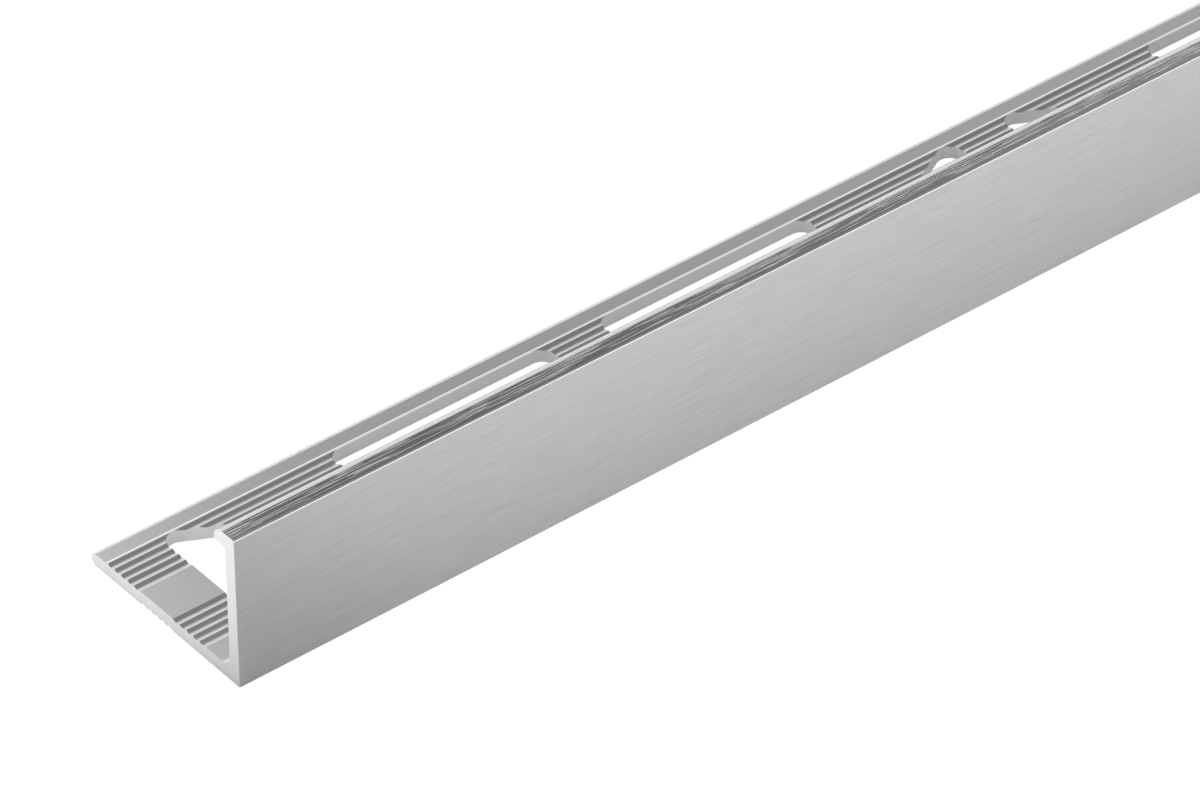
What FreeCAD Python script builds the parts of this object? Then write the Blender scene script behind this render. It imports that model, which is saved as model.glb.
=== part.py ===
# Tile edge trim: one straight length of punched aluminium extrusion.
# The wall stands at the front, its lip turns in over the edge of the tiles,
# and the toothed anchoring leg lies flat in the tile bed.
# X runs along the length, Y from the wall's outer face to the leg's toe, Z up.
# The origin is on the floor under the middle of the piece.
import FreeCAD, Part

import math
import os

# Overall sizes, in millimetres
trim_length = 1000.0
trim_height = 20.0
trim_width = 26.5

# Wall and lip
wall_thickness = 1.6
front_edge_radius = 0.25
lip_overhang = 1.9
lip_thickness = 1.85
lip_nose_radius = 1.4
lip_edge_radius = 0.1
lip_root_radius = 0.4

# Anchoring leg
leg_thickness = 1.75
heel_radius = 1.4
heel_land = 2.8
toe_land = 3.0
toe_step = 0.15

# Teeth of the leg: a band on top at the heel, one underneath and one on top at the toe
tooth_pitch = 1.175
tooth_steep_run = 0.49
top_tooth_depth = 0.22
under_tooth_depth = 0.3
tooth_bands = 3

# Punched windows: each bay holds two, on either side of a slanting web
bay_length = 53.0
bay_web = 7.3
first_bay_inset = 6.9
window_narrow_end = 2.05
window_radius = 1.6
punch_overrun = 1.0

# What follows from the sizes above
lip_reach = wall_thickness + lip_overhang
lip_underside = trim_height - lip_thickness
toe_thickness = leg_thickness - toe_step
toe_radius = toe_thickness / 2
heel_end = wall_thickness + heel_radius
tooth_room = trim_width - toe_land - heel_land - heel_end
teeth_per_band = int(tooth_room / (tooth_bands * tooth_pitch))
band_width = teeth_per_band * tooth_pitch
teeth_end = trim_width - toe_land
teeth_start = teeth_end - tooth_bands * band_width
tooth_shallow_run = tooth_pitch - tooth_steep_run
bay_pitch = bay_length + bay_web
bay_count = math.ceil((trim_length - first_bay_inset) / bay_pitch)
window_depth = teeth_end - teeth_start
smallest_edge = 1e-6


def rounded_corner(before, corner, after, radius):
    """Start, middle and end of the tangent arc that rounds one corner of an outline."""
    back = (before - corner).normalize()
    onward = (after - corner).normalize()
    half_angle = back.getAngle(onward) / 2
    reach = radius / math.tan(half_angle)
    bisector = (back + onward).normalize()
    middle = corner + bisector * (radius / math.sin(half_angle) - radius)
    return corner + back * reach, middle, corner + onward * reach


def outline_face(corners):
    """Flat face inside a closed outline of (point, radius) corners; radius 0 stays sharp."""
    points = [point for point, _ in corners]
    arcs = []
    for index, (point, radius) in enumerate(corners):
        before = points[index - 1]
        after = points[(index + 1) % len(points)]
        if radius > 0:
            arcs.append(rounded_corner(before, point, after, radius))
        else:
            arcs.append((point, None, point))
    edges = []
    last_end = arcs[-1][2]
    for start, middle, end in arcs:
        if last_end.distanceToPoint(start) > smallest_edge:
            edges.append(Part.LineSegment(last_end, start).toShape())
        if middle is not None:
            edges.append(Part.Arc(start, middle, end).toShape())
        last_end = end
    return Part.Face(Part.Wire(edges))


def top_teeth(toe_side):
    """Corners of one top band, from its toe-side crest to its heel-side end, as (y, z, radius)."""
    corners = []
    for tooth in range(teeth_per_band):
        crest = toe_side - tooth * tooth_pitch
        corners.append((crest, leg_thickness, 0))
        corners.append((crest - tooth_steep_run, leg_thickness - top_tooth_depth, 0))
    corners.append((toe_side - band_width, leg_thickness, 0))
    return corners


def under_teeth(heel_side):
    """Corners of the underside band, from its heel-side end to its toe-side end."""
    corners = []
    for tooth in range(teeth_per_band):
        start = heel_side + tooth * tooth_pitch
        corners.append((start, 0, 0))
        corners.append((start + tooth_shallow_run, under_tooth_depth, 0))
    corners.append((heel_side + band_width, 0, 0))
    return corners


def section_corners():
    """Corners of the section as (y from the outer face, z, radius), once round anticlockwise."""
    ramp_run = toe_step / top_tooth_depth * tooth_shallow_run
    foot = [(0, 0, 0)] + under_teeth(teeth_start + band_width)
    toe = [
        (trim_width, 0, toe_radius),
        (trim_width, toe_thickness, toe_radius),
        (teeth_end + ramp_run, toe_thickness, 0),
    ]
    leg_top = top_teeth(teeth_end) + top_teeth(teeth_start + band_width)
    wall_and_lip = [
        (wall_thickness, leg_thickness, heel_radius),
        (wall_thickness, lip_underside, lip_root_radius),
        (lip_reach, lip_underside, lip_edge_radius),
        (lip_reach, trim_height, lip_nose_radius),
        (0, trim_height, front_edge_radius),
    ]
    return foot + toe + leg_top + wall_and_lip


def extrusion():
    """Section drawn at one end and drawn out along the whole length."""
    corners = []
    for y, z, radius in section_corners():
        corners.append((FreeCAD.Vector(-trim_length / 2, y - trim_width / 2, z), radius))
    return outline_face(corners).extrude(FreeCAD.Vector(trim_length, 0, 0))


def web_run():
    """Length along the bay that the slanting web takes, so that it is as wide as the webs between bays."""
    room = bay_length - 2 * window_narrow_end
    depth_squared = window_depth**2
    web_squared = bay_web**2
    spread = depth_squared - web_squared
    root = math.sqrt(web_squared * (room**2 + spread))
    return window_depth * (room * window_depth - root) / spread


def window_corners():
    """Corners of a bay's heel window, as (distance along the bay, y from the outer face)."""
    return [
        (0, teeth_start),
        (window_narrow_end + web_run(), teeth_start),
        (window_narrow_end, teeth_end),
        (0, teeth_end),
    ]


def punch(corners, bay_start, mirrored):
    """Cutter for one window, with its bay's direction along the length."""
    slant = math.atan2(window_depth, web_run())
    radius = min(window_radius, window_narrow_end / (1 + math.tan(slant / 2)))
    placed = []
    for along, y in corners:
        x = bay_start + (bay_length - along if mirrored else along)
        point = FreeCAD.Vector(x - trim_length / 2, y - trim_width / 2, -punch_overrun)
        placed.append((point, radius))
    height = leg_thickness + 2 * punch_overrun
    return outline_face(placed).extrude(FreeCAD.Vector(0, 0, height))


def punched_windows():
    """Cutters for every bay: a heel window and, turned half a turn in the bay, a toe window."""
    heel_window = window_corners()
    toe_window = [(bay_length - along, teeth_start + teeth_end - y) for along, y in heel_window]
    cutters = []
    for bay in range(bay_count):
        bay_start = first_bay_inset + bay * bay_pitch
        mirrored = bay % 2 == 1
        cutters.append(punch(heel_window, bay_start, mirrored))
        cutters.append(punch(toe_window, bay_start, mirrored))
    return Part.makeCompound(cutters)


edge_trim = extrusion().cut(punched_windows())

os.makedirs("parts", exist_ok=True)
edge_trim.exportStep("parts/edge_trim.step")
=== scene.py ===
"""Looks of a tile edge trim: one aluminium extrusion, brushed where it shows.

The trim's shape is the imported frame's own. This script sorts its faces by how each was made, gives
every kind its finish, and sets the floor, the light and the camera.
"""

import logging
import math
from dataclasses import dataclass, field
from enum import Enum
from typing import Any, Dict, Optional, Tuple, Union

import bpy
import numpy as np
from mathutils import Matrix, Vector


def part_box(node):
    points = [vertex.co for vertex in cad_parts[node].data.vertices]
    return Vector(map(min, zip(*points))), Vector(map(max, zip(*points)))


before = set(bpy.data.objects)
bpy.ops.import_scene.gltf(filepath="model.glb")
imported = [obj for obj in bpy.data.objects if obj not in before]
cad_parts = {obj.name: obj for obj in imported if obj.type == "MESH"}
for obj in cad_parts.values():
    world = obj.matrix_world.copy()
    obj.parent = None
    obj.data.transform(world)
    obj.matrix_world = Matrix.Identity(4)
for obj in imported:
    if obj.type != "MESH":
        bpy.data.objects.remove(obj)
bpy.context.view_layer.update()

log = logging.getLogger("edge_trim")

MM = 0.001
NODE = "edge_trim"
WHITE = (1.0, 1.0, 1.0, 1.0)
NOISE_SPAN = (0.3, 0.7)  # nearly all values of a noise lie between these

Span = Tuple[float, float]
Point = Tuple[float, float, float]


def linear(hex_colour: str) -> Tuple[float, float, float, float]:
    """Turns an sRGB colour written as #RRGGBB into linear light.

    Args:
        hex_colour: the colour as it looks on a screen.

    Returns:
        Red, green, blue and an alpha of 1, each from 0 to 1.
    """
    channels = [int(hex_colour[i : i + 2], 16) / 255 for i in (1, 3, 5)]
    light = [c / 12.92 if c <= 0.04045 else ((c + 0.055) / 1.055) ** 2.4 for c in channels]
    return (light[0], light[1], light[2], 1.0)


def add_node(
    tree: bpy.types.NodeTree,
    kind: str,
    links: Optional[Dict[Union[int, str], Any]] = None,
    **settings: Any,
) -> bpy.types.Node:
    """Adds a shader node with its settings, socket values and links.

    Args:
        tree: the node tree that gets the node.
        kind: the node's Blender type name.
        links: socket name or number to a value, or to another node's output socket.
        settings: the node's own properties.

    Returns:
        The new node.
    """
    node = tree.nodes.new(kind)
    for name, value in settings.items():
        setattr(node, name, value)
    for socket, value in (links or {}).items():
        target = node.inputs[socket]
        if isinstance(value, bpy.types.NodeSocket):
            tree.links.new(value, target)
        else:
            target.default_value = value
    return node


def new_material(name: str) -> Tuple[bpy.types.Material, bpy.types.NodeTree, bpy.types.Node]:
    """Makes an empty node material and its output.

    Args:
        name: the material's name.

    Returns:
        The material, its node tree and the output node.
    """
    material = bpy.data.materials.new(name)
    material.use_nodes = True
    tree = material.node_tree
    tree.nodes.clear()
    output = add_node(tree, "ShaderNodeOutputMaterial")
    return material, tree, output


def line_noise(
    tree: bpy.types.NodeTree,
    coords: bpy.types.NodeSocket,
    length_mm: float,
    spacing_mm: float,
    detail: float,
) -> bpy.types.Node:
    """Noise drawn out along X: its grains are length_mm long and spacing_mm wide.

    Args:
        tree: the node tree that gets the nodes.
        coords: object coordinates in metres.
        length_mm: length of a line along X.
        spacing_mm: distance between lines across Y and Z.
        detail: number of finer layers of lines; 0 leaves lines of one size.

    Returns:
        The noise node, whose Fac is the height.
    """
    along = 1 / (length_mm * MM)
    across = 1 / (spacing_mm * MM)
    mapping = add_node(
        tree, "ShaderNodeMapping", {"Vector": coords, "Scale": (along, across, across)}
    )
    return add_node(
        tree,
        "ShaderNodeTexNoise",
        {"Vector": mapping.outputs["Vector"], "Scale": 1.0, "Detail": detail},
    )


@dataclass(frozen=True)
class BrushedAnodised:
    """Brushed anodised aluminium: satin lines along the length, from an abrasive belt.

    The real scratches are a few hundredths of a millimetre wide. They are drawn about 0.1 mm apart
    so that they show.
    """

    colour: str = "#C3C3C4"
    roughness: float = 0.3
    roughness_change: Span = (-0.03, 0.05)
    tone_change: float = 0.1
    line_spacing_mm: float = 0.06
    line_length_mm: float = 7.0
    line_depth_mm: float = 0.0005
    line_detail: float = 1.0

    def material(self) -> bpy.types.Material:
        """Builds the material: line noise as bump, gloss and a slight change of brightness.

        Returns:
            The finished material.
        """
        material, tree, output = new_material("brushed_anodised_aluminium")
        coords = add_node(tree, "ShaderNodeTexCoord")
        lines = line_noise(
            tree, coords.outputs["Object"],
            self.line_length_mm, self.line_spacing_mm, self.line_detail,
        )
        low, high = NOISE_SPAN
        bump = add_node(
            tree, "ShaderNodeBump",
            {"Height": lines.outputs["Fac"], "Distance": self.line_depth_mm * MM, "Strength": 1.0},
        )
        smoother, rougher = self.roughness_change
        gloss = add_node(
            tree, "ShaderNodeMapRange",
            {"Value": lines.outputs["Fac"], "From Min": low, "From Max": high,
             "To Min": self.roughness + smoother, "To Max": self.roughness + rougher},
        )
        shade = add_node(
            tree, "ShaderNodeMapRange",
            {"Value": lines.outputs["Fac"], "From Min": low, "From Max": high,
             "To Min": 1.0 - self.tone_change, "To Max": 1.0 + self.tone_change},
        )
        colour = add_node(
            tree, "ShaderNodeVectorMath",
            {0: linear(self.colour)[:3], 1: shade.outputs["Result"]}, operation="MULTIPLY",
        )
        shader = add_node(
            tree, "ShaderNodeBsdfPrincipled",
            {"Base Color": colour.outputs["Vector"], "Metallic": 1.0,
             "Roughness": gloss.outputs["Result"], "Normal": bump.outputs["Normal"]},
        )
        tree.links.new(shader.outputs["BSDF"], output.inputs["Surface"])
        return material


@dataclass(frozen=True)
class DrawnAnodised:
    """Anodised aluminium polished by the die: the lip's flat top, glossy between drawn-out lines.

    The real lines are finer. They are drawn 0.18 mm apart so that they show.
    """

    colour: str = "#D5D5D6"
    roughness: float = 0.14
    line_spacing_mm: float = 0.18
    line_length_mm: float = 9.0
    line_depth_mm: float = 0.03
    line_detail: float = 1.0
    raised_part: Span = (0.52, 0.66)
    first_line_mm: float = 0.5
    fade_mm: float = 0.15

    def material(self) -> bpy.types.Material:
        """Builds the material: sparse raised lines, the upper part of a line noise, as bump.

        The lines begin a little way in from the wall's outer face, beside a smooth band.

        Returns:
            The finished material.
        """
        material, tree, output = new_material("drawn_anodised_aluminium")
        coords = add_node(tree, "ShaderNodeTexCoord")
        lines = line_noise(
            tree, coords.outputs["Object"],
            self.line_length_mm, self.line_spacing_mm, self.line_detail,
        )
        low, high = self.raised_part
        ridges = add_node(
            tree, "ShaderNodeMapRange",
            {"Value": lines.outputs["Fac"], "From Min": low, "From Max": high,
             "To Min": 0.0, "To Max": 1.0},
            interpolation_type="SMOOTHSTEP",
        )
        place = add_node(tree, "ShaderNodeSeparateXYZ", {"Vector": coords.outputs["Object"]})
        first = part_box(NODE)[0][1] + self.first_line_mm * MM
        lined = add_node(
            tree, "ShaderNodeMapRange",
            {"Value": place.outputs["Y"], "From Min": first,
             "From Max": first + self.fade_mm * MM, "To Min": 0.0, "To Max": 1.0},
        )
        height = add_node(
            tree, "ShaderNodeMath",
            {0: ridges.outputs["Result"], 1: lined.outputs["Result"]}, operation="MULTIPLY",
        )
        bump = add_node(
            tree, "ShaderNodeBump",
            {"Height": height.outputs[0], "Distance": self.line_depth_mm * MM, "Strength": 1.0},
        )
        shader = add_node(
            tree, "ShaderNodeBsdfPrincipled",
            {"Base Color": linear(self.colour), "Metallic": 1.0, "Roughness": self.roughness,
             "Normal": bump.outputs["Normal"]},
        )
        tree.links.new(shader.outputs["BSDF"], output.inputs["Surface"])
        return material


@dataclass(frozen=True)
class RoundedAnodised:
    """Smooth anodised aluminium: the lip's nose and the leg's toe, with one even highlight."""

    name: str = "rounded_anodised_aluminium"
    colour: str = "#E2E2E3"
    roughness: float = 0.2

    def material(self) -> bpy.types.Material:
        """Builds the material: one even gloss.

        Returns:
            The finished material.
        """
        material, tree, output = new_material(self.name)
        shader = add_node(
            tree, "ShaderNodeBsdfPrincipled",
            {"Base Color": linear(self.colour), "Metallic": 1.0, "Roughness": self.roughness},
        )
        tree.links.new(shader.outputs["BSDF"], output.inputs["Surface"])
        return material


@dataclass(frozen=True)
class PaintedHighlightAnodised(RoundedAnodised):
    """Anodised aluminium at the front top edge, a bright line: its lighter colour is a painted
    highlight.
    """

    name: str = "painted_highlight_anodised_aluminium"
    # Lighter than the rounded finish's colour: a painted highlight on the edge's rounding.
    colour: str = "#F6F6F7"
    roughness: float = 0.24


@dataclass(frozen=True)
class ExtrudedAnodised:
    """Anodised aluminium as it left the die: even, matt, with faint die lines along the length."""

    colour: str = "#E1E1E2"
    roughness: float = 0.34
    line_spacing_mm: float = 0.5
    line_length_mm: float = 120.0
    line_depth_mm: float = 0.0015
    line_detail: float = 2.0

    def material(self) -> bpy.types.Material:
        """Builds the material: long die lines as a faint bump.

        Returns:
            The finished material.
        """
        material, tree, output = new_material("extruded_anodised_aluminium")
        coords = add_node(tree, "ShaderNodeTexCoord")
        lines = line_noise(
            tree, coords.outputs["Object"],
            self.line_length_mm, self.line_spacing_mm, self.line_detail,
        )
        bump = add_node(
            tree, "ShaderNodeBump",
            {"Height": lines.outputs["Fac"], "Distance": self.line_depth_mm * MM, "Strength": 1.0},
        )
        shader = add_node(
            tree, "ShaderNodeBsdfPrincipled",
            {"Base Color": linear(self.colour), "Metallic": 1.0, "Roughness": self.roughness,
             "Normal": bump.outputs["Normal"]},
        )
        tree.links.new(shader.outputs["BSDF"], output.inputs["Surface"])
        return material


@dataclass(frozen=True)
class GrainedCut:
    """Cut aluminium: pale and matt, with a fine grain where the tool tore it."""

    name: str
    colour: str
    roughness: float
    grain_mm: float
    grain_depth_mm: float
    grain_detail: float

    def material(self) -> bpy.types.Material:
        """Builds the material: an even noise as a faint bump.

        Returns:
            The finished material.
        """
        material, tree, output = new_material(self.name)
        coords = add_node(tree, "ShaderNodeTexCoord")
        grain = add_node(
            tree, "ShaderNodeTexNoise",
            {"Vector": coords.outputs["Object"], "Scale": 1 / (self.grain_mm * MM),
             "Detail": self.grain_detail},
        )
        bump = add_node(
            tree, "ShaderNodeBump",
            {"Height": grain.outputs["Fac"], "Distance": self.grain_depth_mm * MM,
             "Strength": 1.0},
        )
        shader = add_node(
            tree, "ShaderNodeBsdfPrincipled",
            {"Base Color": linear(self.colour), "Metallic": 1.0, "Roughness": self.roughness,
             "Normal": bump.outputs["Normal"]},
        )
        tree.links.new(shader.outputs["BSDF"], output.inputs["Surface"])
        return material


@dataclass(frozen=True)
class PunchedEdge(GrainedCut):
    """Punched aluminium: the windows' walls, bright where the tool sheared them."""

    name: str = "punched_aluminium"
    colour: str = "#FAFAFB"
    roughness: float = 0.65
    grain_mm: float = 0.35
    grain_depth_mm: float = 0.004
    grain_detail: float = 2.0


@dataclass(frozen=True)
class SawnEnd(GrainedCut):
    """Sawn aluminium: the ends, a pale cut with the fine marks of the blade."""

    name: str = "sawn_aluminium"
    colour: str = "#DADADB"
    roughness: float = 0.4
    grain_mm: float = 0.3
    grain_depth_mm: float = 0.003
    grain_detail: float = 3.0


class Surface(Enum):
    """How a face of the trim was made. The value is the number of its material slot."""

    BRUSHED = 0
    DRAWN = 1
    ROUNDED = 2
    # The front top edge's rounding, coloured lighter as a painted highlight.
    BURNISHED = 3
    EXTRUDED = 4
    PUNCHED = 5
    SAWN = 6


@dataclass
class EdgeTrim:
    """The extruded, punched trim, dressed face by face.

    A face is level from level_from on and upright up to upright_to, by its normal's Z, and it
    belongs to a rounding from rounded_from on, by its normal's Y.
    """

    leg_thickness_mm: float = 1.75
    lip_thickness_mm: float = 1.85
    toe_land_mm: float = 1.0
    hair_mm: float = 0.01
    level_from: float = 0.999
    upright_to: float = 0.01
    rounded_from: float = 0.05
    node: str = NODE
    finishes: Dict[Surface, Any] = field(
        default_factory=lambda: {
            Surface.BRUSHED: BrushedAnodised(),
            Surface.DRAWN: DrawnAnodised(),
            Surface.ROUNDED: RoundedAnodised(),
            Surface.BURNISHED: PaintedHighlightAnodised(),
            Surface.EXTRUDED: ExtrudedAnodised(),
            Surface.PUNCHED: PunchedEdge(),
            Surface.SAWN: SawnEnd(),
        }
    )

    def faces(self) -> Tuple[np.ndarray, np.ndarray]:
        """Reads each face's centre and normal.

        Returns:
            Centres and normals, one row for each face.
        """
        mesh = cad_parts[self.node].data
        count = len(mesh.polygons)
        centres = np.empty(count * 3)
        normals = np.empty(count * 3)
        mesh.polygons.foreach_get("center", centres)
        mesh.polygons.foreach_get("normal", normals)
        return centres.reshape(-1, 3), normals.reshape(-1, 3)

    def sorted_faces(self) -> np.ndarray:
        """Tells how each face was made, from where it lies and which way it looks.

        Later rules win over earlier ones. A face that no rule names is as it left the die.

        Returns:
            One Surface value for each face.
        """
        low, high = (np.array(corner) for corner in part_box(self.node))
        centres, normals = self.faces()
        hair = self.hair_mm * MM
        kinds = np.full(len(centres), Surface.EXTRUDED.value, np.int32)
        lip_line = high[2] - self.lip_thickness_mm * MM
        lip = (centres[:, 2] > lip_line + hair) & (normals[:, 2] > -hair)
        kinds[lip] = Surface.ROUNDED.value
        kinds[lip & (normals[:, 2] > self.level_from)] = Surface.DRAWN.value
        # The lip's faces that look towards the front, the front top edge's rounding, get the lighter
        # colour of the painted highlight.
        kinds[lip & (normals[:, 1] < -hair)] = Surface.BURNISHED.value
        toe_line = high[1] - self.leg_thickness_mm / 2 * MM
        toe = (centres[:, 1] > toe_line) & (np.abs(normals[:, 1]) > self.rounded_from)
        kinds[toe] = Surface.ROUNDED.value
        outer = centres[:, 1] < low[1] + hair
        kinds[outer] = Surface.BRUSHED.value
        upright = np.abs(normals[:, 2]) < self.upright_to
        in_leg = (centres[:, 2] < self.leg_thickness_mm * MM) & ~outer
        inside_toe = centres[:, 1] < high[1] - self.toe_land_mm * MM
        kinds[upright & in_leg & inside_toe] = Surface.PUNCHED.value
        at_end = (centres[:, 0] < low[0] + hair) | (centres[:, 0] > high[0] - hair)
        kinds[at_end] = Surface.SAWN.value
        return kinds

    def dress(self) -> None:
        """Gives the node one material for each kind of face, and each face its own."""
        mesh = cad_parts[self.node].data
        mesh.materials.clear()
        for surface in Surface:
            mesh.materials.append(self.finishes[surface].material())
        kinds = self.sorted_faces()
        mesh.polygons.foreach_set("material_index", kinds)
        mesh.update()
        for surface in Surface:
            count = int((kinds == surface.value).sum())
            log.info("%s: %d faces %s", self.node, count, surface.name.lower())


@dataclass(frozen=True)
class SoftLamp:
    """One soft rectangular lamp: its middle and sides in metres, and its power in watts."""

    name: str
    place: Point
    size: Span
    power: float

    def hang(self, aim: Point) -> bpy.types.Object:
        """Hangs the lamp, unseen by the camera.

        Args:
            aim: the point that it faces.

        Returns:
            The lamp.
        """
        data = bpy.data.lights.new(self.name, "AREA")
        data.shape = "RECTANGLE"
        data.size, data.size_y = self.size
        data.energy = self.power
        lamp = bpy.data.objects.new(self.name, data)
        towards = Vector(aim) - Vector(self.place)
        lamp.rotation_euler = towards.to_track_quat("-Z", "Y").to_euler()
        lamp.location = self.place
        lamp.visible_camera = False
        bpy.context.scene.collection.objects.link(lamp)
        return lamp


@dataclass
class Studio:
    """White paper floor, a light tent and three soft lamps.

    Two wide lamps lie low and light only the paper, in front of the trim and beyond its near end.
    The front and the sawn end mirror that paper, and get darker from the top down. The third lamp
    is small, hangs behind the near end and brightens the leg there.
    """

    floor_size_m: float = 12.0
    floor_gap_mm: float = 0.05
    paper: str = "#E4E4E4"
    white_strength: float = 1.105
    white_to_eye: float = 0.88
    white_to_gloss: float = 0.12
    tent_stops: Tuple[Span, ...] = (
        (0.0, 1.5), (8.0, 1.45), (13.0, 0.8), (17.0, 0.55), (22.0, 0.75),
        (27.0, 1.2), (32.0, 0.75), (37.0, 0.14), (60.0, 0.2), (90.0, 0.3),
    )
    tent_end_span: Span = (-1.0, 0.3)
    tent_end_dim: float = 0.6
    front_lamp: SoftLamp = SoftLamp("front_lamp", (0.135, -0.312, 0.03), (1.25, 0.6), 2.8)
    end_lamp: SoftLamp = SoftLamp("end_lamp", (-0.795, 0.29, 0.012), (0.6, 0.6), 1.55)
    back_lamp: SoftLamp = SoftLamp("back_lamp", (-0.523, 0.117, 0.12), (0.2, 0.2), 0.09)

    def floor(self) -> None:
        """Lays the floor just under the trim.

        Its paper is mixed with white: nearly all of it for the eye, a little of it in the metal.
        The rest is lit paper, which keeps the trim's shadow.
        """
        half = self.floor_size_m / 2
        level = -self.floor_gap_mm * MM
        corners = [
            (-half, -half, level), (half, -half, level), (half, half, level), (-half, half, level)
        ]
        mesh = bpy.data.meshes.new("floor")
        mesh.from_pydata(corners, [], [(0, 1, 2, 3)])
        floor = bpy.data.objects.new("floor", mesh)
        bpy.context.scene.collection.objects.link(floor)
        material, tree, output = new_material("white_paper_floor")
        paper = add_node(tree, "ShaderNodeBsdfDiffuse", {"Color": linear(self.paper)})
        white = add_node(
            tree, "ShaderNodeEmission", {"Color": WHITE, "Strength": self.white_strength}
        )
        path = add_node(tree, "ShaderNodeLightPath")
        mirrored = add_node(
            tree, "ShaderNodeMath",
            {0: path.outputs["Is Glossy Ray"], 1: path.outputs["Is Transmission Ray"]},
            operation="MAXIMUM",
        )
        to_gloss = add_node(
            tree, "ShaderNodeMath",
            {0: mirrored.outputs[0], 1: self.white_to_gloss}, operation="MULTIPLY",
        )
        to_eye = add_node(
            tree, "ShaderNodeMath",
            {0: path.outputs["Is Camera Ray"], 1: self.white_to_eye}, operation="MULTIPLY",
        )
        share = add_node(
            tree, "ShaderNodeMath",
            {0: to_eye.outputs[0], 1: to_gloss.outputs[0]}, operation="MAXIMUM",
        )
        mix = add_node(
            tree, "ShaderNodeMixShader",
            {0: share.outputs[0], 1: paper.outputs[0], 2: white.outputs[0]},
        )
        tree.links.new(mix.outputs[0], output.inputs["Surface"])
        mesh.materials.append(material)

    def tent(self) -> None:
        """Makes the world a light tent: bright low bands, dim overhead and towards the near end.

        Each stop is an elevation in degrees and its strength. The ramp runs over the sine of the
        elevation, which is the direction's Z. The camera sees plain white.
        """
        world = bpy.data.worlds.new("light_tent")
        bpy.context.scene.world = world
        world.use_nodes = True
        tree = world.node_tree
        tree.nodes.clear()
        output = add_node(tree, "ShaderNodeOutputWorld")
        coords = add_node(tree, "ShaderNodeTexCoord")
        parts = add_node(
            tree, "ShaderNodeSeparateXYZ", {"Vector": coords.outputs["Generated"]}
        )
        peak = max(strength for _, strength in self.tent_stops)
        ramp = add_node(tree, "ShaderNodeValToRGB", {"Fac": parts.outputs["Z"]})
        stops = ramp.color_ramp.elements
        for _ in self.tent_stops[2:]:
            stops.new(0.5)
        for stop, (elevation, strength) in zip(stops, self.tent_stops):
            stop.position = math.sin(math.radians(elevation))
            stop.color = (strength / peak, strength / peak, strength / peak, 1.0)
        level = add_node(
            tree, "ShaderNodeMath", {0: ramp.outputs["Color"], 1: peak}, operation="MULTIPLY"
        )
        near, far = self.tent_end_span
        towards_end = add_node(
            tree, "ShaderNodeMapRange",
            {"Value": parts.outputs["X"], "From Min": near, "From Max": far,
             "To Min": self.tent_end_dim, "To Max": 1.0},
        )
        strength = add_node(
            tree, "ShaderNodeMath",
            {0: level.outputs[0], 1: towards_end.outputs["Result"]}, operation="MULTIPLY",
        )
        path = add_node(tree, "ShaderNodeLightPath")
        shown = add_node(
            tree, "ShaderNodeMix",
            {"Factor": path.outputs["Is Camera Ray"], "A": strength.outputs[0], "B": 1.0},
        )
        light = add_node(
            tree, "ShaderNodeBackground", {"Color": WHITE, "Strength": shown.outputs["Result"]}
        )
        tree.links.new(light.outputs[0], output.inputs["Surface"])

    def lamps(self) -> None:
        """Hangs the two paper lamps, facing straight down, and the one behind the near end."""
        for lamp in (self.front_lamp, self.end_lamp):
            across, deep, _ = lamp.place
            lamp.hang((across, deep, 0.0)).visible_glossy = False
        near_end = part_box(NODE)[0][0]
        self.back_lamp.hang((near_end, 0.0, 0.0))

    def build(self) -> None:
        """Sets up the floor, the tent, the lamps and the view transform."""
        self.floor()
        self.tent()
        self.lamps()
        bpy.context.scene.view_settings.view_transform = "Standard"
        log.info("studio: floor %.0f m, tent of %d stops", self.floor_size_m, len(self.tent_stops))


@dataclass
class PhotoCamera:
    """The camera that took the photograph, solved from its vanishing points."""

    image_width_px: float = 1200.0
    image_height_px: float = 800.0
    focal_px: float = 7010.0
    elevation_deg: float = 38.557
    heading_deg: float = 50.910
    heel_corner_px: Span = (239.4, 687.4)
    heel_inset_px: float = 0.65
    mm_per_px: float = 0.105125
    sensor_mm: float = 36.0
    nearest_m: float = 0.01
    farthest_m: float = 50.0

    def axes(self) -> Tuple[Vector, Vector, Vector]:
        """Works out the camera's own axes in the trim's frame.

        Returns:
            Right, up and forward, as unit vectors.
        """
        elevation = math.radians(self.elevation_deg)
        heading = math.radians(self.heading_deg)
        level = Vector((math.cos(heading), math.sin(heading), 0.0))
        forward = level * math.cos(elevation) - Vector((0.0, 0.0, math.sin(elevation)))
        right = Vector((math.sin(heading), -math.cos(heading), 0.0))
        return right, right.cross(forward), forward

    def place(self) -> None:
        """Puts the camera where the heel's near corner falls on its pixel of the photograph.

        The pixel's point of the corner lies heel_inset_px inside the wall's outer face.
        """
        low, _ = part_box(NODE)
        right, up, forward = self.axes()
        depth = self.focal_px * self.mm_per_px * MM
        across = (self.heel_corner_px[0] - self.image_width_px / 2) / self.focal_px
        down = (self.heel_corner_px[1] - self.image_height_px / 2) / self.focal_px
        corner = Vector((low[0], low[1] + self.heel_inset_px * self.mm_per_px * MM, low[2]))
        place = corner - depth * (forward + across * right - down * up)
        data = bpy.data.cameras.new("photo_camera")
        data.sensor_width = self.sensor_mm
        data.sensor_fit = "HORIZONTAL"
        data.lens = self.sensor_mm * self.focal_px / self.image_width_px
        data.clip_start = self.nearest_m
        data.clip_end = self.farthest_m
        camera = bpy.data.objects.new("photo_camera", data)
        rotation = Matrix((right, up, -forward)).transposed().to_4x4()
        camera.matrix_world = Matrix.Translation(place) @ rotation
        bpy.context.scene.collection.objects.link(camera)
        bpy.context.scene.camera = camera
        log.info("camera: %.1f mm lens, %.3f m away", data.lens, depth)


def main() -> None:
    """Dresses the trim, then sets the studio and the camera."""
    logging.basicConfig(level=logging.INFO, format="%(name)s %(message)s")
    EdgeTrim().dress()
    Studio().build()
    PhotoCamera().place()


if __name__ == "__main__":
    main()
